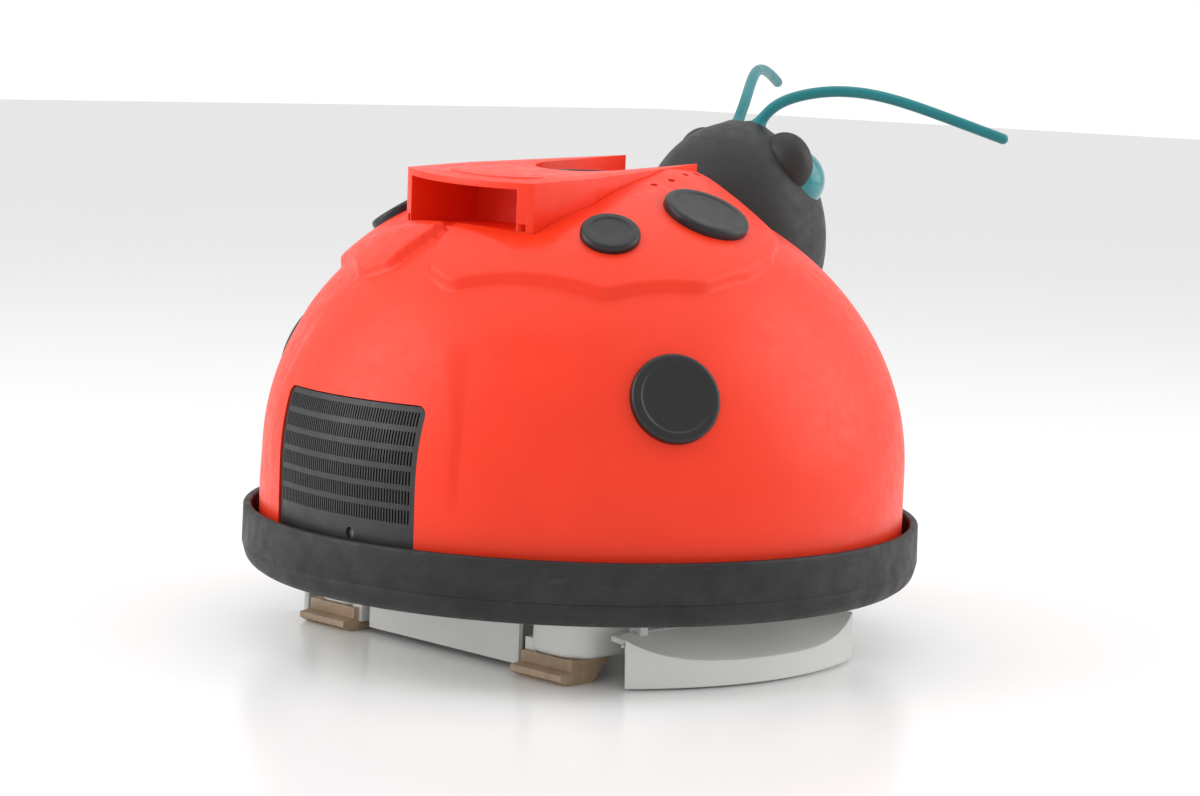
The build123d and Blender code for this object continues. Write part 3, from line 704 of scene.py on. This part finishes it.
def egg(name, centre, size, around=96, down=64):
    """A closed ellipsoid with its poles on the z axis."""
    points = []
    for j in range(down + 1):
        tilt = pi * j / down
        for i in range(around):
            turn = 2 * pi * i / around
            points.append((
                centre[0] + size[0] * sin(tilt) * cos(turn),
                centre[1] + size[1] * sin(tilt) * sin(turn),
                centre[2] + size[2] * cos(tilt),
            ))
    return add_mesh(name, points, wrap_faces(down + 1, around))


def shape_vertices(obj, change):
    """Moves each vertex by change(points), both in millimetres from the axis."""
    mesh = obj.data
    flat = np.empty(len(mesh.vertices) * 3)
    mesh.vertices.foreach_get("co", flat)
    points = flat.reshape(-1, 3) / MM - (AXIS.x / MM, AXIS.y / MM, 0)
    mesh.vertices.foreach_set("co", place(change(points)).ravel())
    mesh.update()


def make_head():
    """The head, with a boss at each antenna's root."""
    head = egg("head_skin", HEAD, HEAD_SIZE, 224, 160)

    def bosses(points):
        normal = (points - HEAD) / np.array(HEAD_SIZE) ** 2
        normal /= np.linalg.norm(normal, axis=1)[:, None]
        lift = np.zeros(len(points))
        for side in SIDES.values():
            away = np.linalg.norm(points - (side * BOSS[0], BOSS[1], BOSS[2]), axis=1)
            lift += 3.2 * np.exp(-((away / 6.5) ** 2))
        return points + normal * lift[:, None]

    shape_vertices(head, bosses)
    settle(head, "chassis", MATERIALS["head_black"], ["head"])


def make_face():
    """Eyes and brows."""
    for name, side in SIDES.items():
        eye = egg(f"eye_{name}_skin", (side * EYE[0], EYE[1], EYE[2]), (EYE_R,) * 3, 96, 64)
        settle(eye, "chassis", MATERIALS["teal"], [f"eye_{name}"])
        brow = egg(f"brow_{name}_skin", (side * BROW[0], BROW[1], BROW[2]), BROW_SIZE, 112, 80)
        settle(brow, "chassis", MATERIALS["head_black"], [f"brow_{name}"])


def make_antenna(name, side):
    """A flexible antenna: a round rod with a flared foot and a rounded tip."""
    curve = bpy.data.curves.new(f"antenna_{name}_path", "CURVE")
    curve.dimensions = "3D"
    curve.resolution_u = 10
    spline = curve.splines.new("NURBS")
    route = place([(side * x, y, z) for x, y, z in ANTENNAS[name]])
    spline.points.add(len(route) - 1)
    for point, where in zip(spline.points, route):
        point.co = (*where, 1)
    spline.order_u = 4
    spline.use_endpoint_u = True
    guide = bpy.data.objects.new(f"antenna_{name}_path", curve)
    bpy.context.scene.collection.objects.link(guide)
    bpy.context.view_layer.update()
    line = bpy.data.meshes.new_from_object(guide.evaluated_get(bpy.context.evaluated_depsgraph_get()))
    path = [Vector(v.co) / MM - Vector((AXIS.x / MM, AXIS.y / MM, 0)) for v in line.vertices]
    bpy.data.objects.remove(guide)
    steps, radius = 28, 3.0
    lengths = [0.0]
    for a, b in zip(path, path[1:]):
        lengths.append(lengths[-1] + (b - a).length)
    total = lengths[-1]
    rings = []
    for where, point in zip(lengths, path):
        size = radius + 2.6 * float(np.exp(-((max(where - 9, 0) / 4.5) ** 2)))
        rings.append((point, size * (1 - 0.04 * where / total)))
    tip = path[-1]
    ahead = (path[-1] - path[-2]).normalized()
    for k in range(1, 7):
        turn = pi / 2 * k / 6
        rings.append((tip + ahead * radius * sin(turn) * 0.96, max(radius * 0.96 * cos(turn), 1e-4)))
    points = []
    side_way = Vector((0, 0, 1)).cross(path[1] - path[0]).normalized()
    for i, (point, size) in enumerate(rings):
        before = rings[max(i - 1, 0)][0]
        after = rings[min(i + 1, len(rings) - 1)][0]
        run = (after - before).normalized()
        side_way = (side_way - run * side_way.dot(run)).normalized()
        other = run.cross(side_way)
        for k in range(steps):
            turn = 2 * pi * k / steps
            points.append(tuple(point + side_way * size * cos(turn) + other * size * sin(turn)))
    faces = wrap_faces(len(rings), steps)
    faces.append(tuple(range(steps)))
    faces.append(tuple(range((len(rings) - 1) * steps, len(rings) * steps)))
    antenna = add_mesh(f"antenna_{name}_skin", points, faces)
    settle(antenna, "chassis", MATERIALS["teal_rubber"], [f"antenna_{name}"], sharp=60)


# --- spots --------------------------------------------------------------------------------
# x, y, how far the surface under it stands above the dome, and its radius
SPOTS = {
    "side": (138.6, 74.0, 0.0, 21.8),
    "rear": (79.2, 62.6, PAD_RISE, 14.7),
    "front": (85.0, 2.8, PAD_RISE, 22.0),
}


def make_spots():
    """Black buttons with a rolled rim and a slightly dished face."""
    for place_name, (x, y, rise, size) in SPOTS.items():
        for name, side in SIDES.items():
            point, normal = shell_point(side * x, y, rise)
            where = Matrix.Translation(point) @ normal.to_track_quat("Z", "Y").to_matrix().to_4x4()
            outline = rounded(
                [(0, -3), (size - 1.2, -3), (size, -1.6), (size, 3.5), (size - 4.2, 3.5),
                 (size - 5.4, 2.9), (0, 2.5)],
                [0, 0, 1, 2.2, 0.8, 1.2, 0], 6,
            )
            spot = lathe(f"spot_{place_name}_{name}_skin", outline, 128, where)
            node = f"spot_{place_name}_{name}"
            settle(spot, "chassis", MATERIALS["spot_black"], [node], sharp=60)


# --- hose cone ----------------------------------------------------------------------------
def make_cone():
    """The swivelling cone that holds the hose end."""
    outline = rounded(
        [(13.8, 196), (16.0, 196), (16.0, 207.8), (18.7, 207.8), (18.7, 233.4), (21.25, 233.4),
         (21.25, 236.5), (17.5, 240.5), (16.2, 240.5), (16.2, 210.5), (13.8, 210.5)],
        [0, 0, 0, 0, 0.6, 0.5, 0.6, 0.5, 0.5, 0, 0], 4,
    )
    cone = lathe("hose_cone_skin", outline, 128, Matrix.Translation((0, HOSE_Y, 0)))
    settle(cone, "hose_cone", MATERIALS["smoky_plastic"], ["hose_cone"], sharp=35)


# --- wings and skirts ---------------------------------------------------------------------
WING_X = 110.0
WING_R = 148.0
WING_BACK = 84.0
WING_FRONT = -66.0
WING_HINGE_Z = 24.6
WING_FOOT_Z = 1.2
WING_FOLD_LOW = 13.0  # the fold is lowest midway along and rises to both ends
WING_FOLD_RISE = 10.5


def make_wing(name, side):
    """A hinged flap: a dished top that meets a curved wall along a low fold."""
    along, down = 80, 30
    t = np.linspace(0, 1, along + 1)[:, None]
    y_in = WING_BACK - 2 + (WING_FRONT + 8 - WING_BACK) * t
    turn_back, turn_front = asin(WING_BACK / WING_R), asin(WING_FRONT / WING_R)
    turn = turn_back + (turn_front - turn_back) * t
    fold_z = WING_FOLD_LOW + WING_FOLD_RISE * (2 * t - 1) ** 4 + (2 * t - 1) ** 2
    profile = []
    for share in np.linspace(0, 1, 14):
        profile.append(("top", share))
    for share in np.linspace(0, 1, 12)[1:]:
        profile.append(("wall", share))
    outer = np.empty((along + 1, len(profile), 3))
    for i, (kind, share) in enumerate(profile):
        edge_x, edge_y = WING_R * np.cos(turn), WING_R * np.sin(turn)
        if kind == "top":
            x = WING_X + (edge_x - WING_X) * share
            y = y_in + (edge_y - y_in) * share
            z = WING_HINGE_Z + (fold_z - WING_HINGE_Z) * share**1.15
        else:
            x = edge_x + 0.8 * share
            y = edge_y + 0 * x
            z = fold_z + (WING_FOOT_Z - fold_z) * share
        outer[:, i, 0] = (side * x)[:, 0]
        outer[:, i, 1] = y[:, 0]
        outer[:, i, 2] = z[:, 0]
    count = len(profile)
    faces = [
        (a * count + b, a * count + b + 1, (a + 1) * count + b + 1, (a + 1) * count + b)
        for a in range(along) for b in range(count - 1)
    ]
    wing = add_mesh(f"wing_{name}_skin", outer.reshape(-1, 3), faces)
    thick = wing.modifiers.new("thick", "SOLIDIFY")
    thick.thickness = 2.4 * MM
    thick.offset = -1
    thick.use_even_offset = True
    bpy.context.view_layer.update()
    bake(wing)
    bevel_only(wing, 0.7, 2, 50)
    settle(wing, f"wing_{name}", MATERIALS["wing_plastic"], [f"wing_{name}"], sharp=60)


# --- staying CAD pieces -------------------------------------------------------------------
def dress_cad_nodes():
    """Every CAD node that stays gets soft edges, smooth shading and its slot's material."""
    slots = {part["node"]: part["material_slot"] for part in frame["record"]["subparts"]}
    for node, obj in frame["nodes"].items():
        obj.data.materials.clear()
        obj.data.materials.append(MATERIALS[slots[node]])
        if obj.hide_render:
            continue
        weld = obj.modifiers.new("weld", "WELD")
        weld.merge_threshold = 1e-5
        merge = obj.modifiers.new("merge", "DECIMATE")
        merge.decimate_type = "DISSOLVE"
        merge.angle_limit = radians(1.0)
        edge = obj.modifiers.new("edge", "BEVEL")
        edge.width = 0.5 * MM
        edge.segments = 2
        edge.angle_limit = radians(40)
        edge.use_clamp_overlap = True
        smooth = obj.modifiers.new("normals", "WEIGHTED_NORMAL")
        smooth.keep_sharp = True


# --- studio -------------------------------------------------------------------------------
CAMERA_TURN = radians(226)
CAMERA_RISE = radians(6.62)
CAMERA_ROLL = radians(2.03)
CAMERA_DISTANCE = 1.6
CAMERA_AIM = Vector((0, 0, 0.1231))
CAMERA_SHIFT_RIGHT = 0.0079


def add_camera():
    flat = cos(CAMERA_RISE)
    back = Vector((sin(CAMERA_TURN) * flat, -cos(CAMERA_TURN) * flat, sin(CAMERA_RISE)))
    right = (-back).cross(Vector((0, 0, 1))).normalized()
    up = right.cross(-back)
    spot = Vector((AXIS.x, AXIS.y, 0)) + CAMERA_AIM + right * CAMERA_SHIFT_RIGHT + back * CAMERA_DISTANCE
    rolled_right = right * cos(CAMERA_ROLL) + up * sin(CAMERA_ROLL)
    rolled_up = up * cos(CAMERA_ROLL) - right * sin(CAMERA_ROLL)
    data = bpy.data.cameras.new("camera")
    data.sensor_width = 36
    data.lens = 92.6
    data.clip_start = 0.05
    camera = bpy.data.objects.new("camera", data)
    turned = Matrix((rolled_right, rolled_up, back)).transposed().to_4x4()
    camera.matrix_world = Matrix.Translation(spot) @ turned
    bpy.context.scene.collection.objects.link(camera)
    bpy.context.scene.camera = camera
    return right, back


def add_light(name, spot, aim, size, power, colour=(1, 1, 1)):
    data = bpy.data.lights.new(name, "AREA")
    data.shape = "RECTANGLE"
    data.size, data.size_y = size
    data.energy = power
    data.color = colour
    light = bpy.data.objects.new(name, data)
    light.location = spot
    light.rotation_euler = (Vector(aim) - Vector(spot)).to_track_quat("-Z", "Y").to_euler()
    bpy.context.scene.collection.objects.link(light)


def add_studio(right, back):
    """White floor, white surroundings and three large soft boxes."""
    scene = bpy.context.scene
    world = bpy.data.worlds.new("studio")
    scene.world = world
    world.use_nodes = True
    tree = world.node_tree
    fill = tree.nodes["Background"]
    fill.inputs["Color"].default_value = (1, 1, 1, 1)
    fill.inputs["Strength"].default_value = 0.80
    seen = tree.nodes.new("ShaderNodeBackground")
    seen.inputs["Color"].default_value = (1, 1, 1, 1)
    seen.inputs["Strength"].default_value = 1.05
    rays = tree.nodes.new("ShaderNodeLightPath")
    mix = tree.nodes.new("ShaderNodeMixShader")
    tree.links.new(rays.outputs["Is Camera Ray"], mix.inputs[0])
    tree.links.new(fill.outputs[0], mix.inputs[1])
    tree.links.new(seen.outputs[0], mix.inputs[2])
    tree.links.new(mix.outputs[0], tree.nodes["World Output"].inputs["Surface"])

    size = 9.0
    mesh = bpy.data.meshes.new("floor")
    corners = [(-size, -size, 0), (size, -size, 0), (size, size, 0), (-size, size, 0)]
    mesh.from_pydata(corners, [], [(0, 1, 2, 3)])
    floor = bpy.data.objects.new("floor", mesh)
    scene.collection.objects.link(floor)
    material, floor_tree, shader = new_material("floor_white")
    tone = remap(floor_tree, noise(floor_tree, 3, 2), 0.3, 0.7, 0.97, 0.98)
    shade = floor_tree.nodes.new("ShaderNodeCombineColor")
    for socket in shade.inputs[:3]:
        floor_tree.links.new(tone, socket)
    floor_tree.links.new(shade.outputs[0], shader.inputs["Base Color"])
    shader.inputs["Roughness"].default_value = 0.22
    shader.inputs["Specular IOR Level"].default_value = 0.5
    floor.data.materials.append(material)

    middle = Vector((AXIS.x, AXIS.y, 0.12))
    up = Vector((0, 0, 1))
    flat_back = Vector((back.x, back.y, 0)).normalized()
    add_light("left_box", middle - right * 1.5 + flat_back * 0.25 + up * 0.65, middle, (1.3, 1.5), 13)
    add_light("right_box", middle + right * 1.5 - flat_back * 0.1 + up * 0.7, middle, (1.3, 1.5), 10)
    add_light("top_box", middle - flat_back * 0.2 + up * 1.7, middle, (2.2, 2.2), 9)
    scene.view_settings.view_transform = "Standard"
    scene.view_settings.look = "None"


right, back = add_camera()
make_shell()
make_hood()
make_ring()
make_grille()
make_head()
make_face()
for name, side in SIDES.items():
    make_antenna(name, side)
    make_wing(name, side)
make_spots()
make_cone()
dress_cad_nodes()
add_studio(right, back)
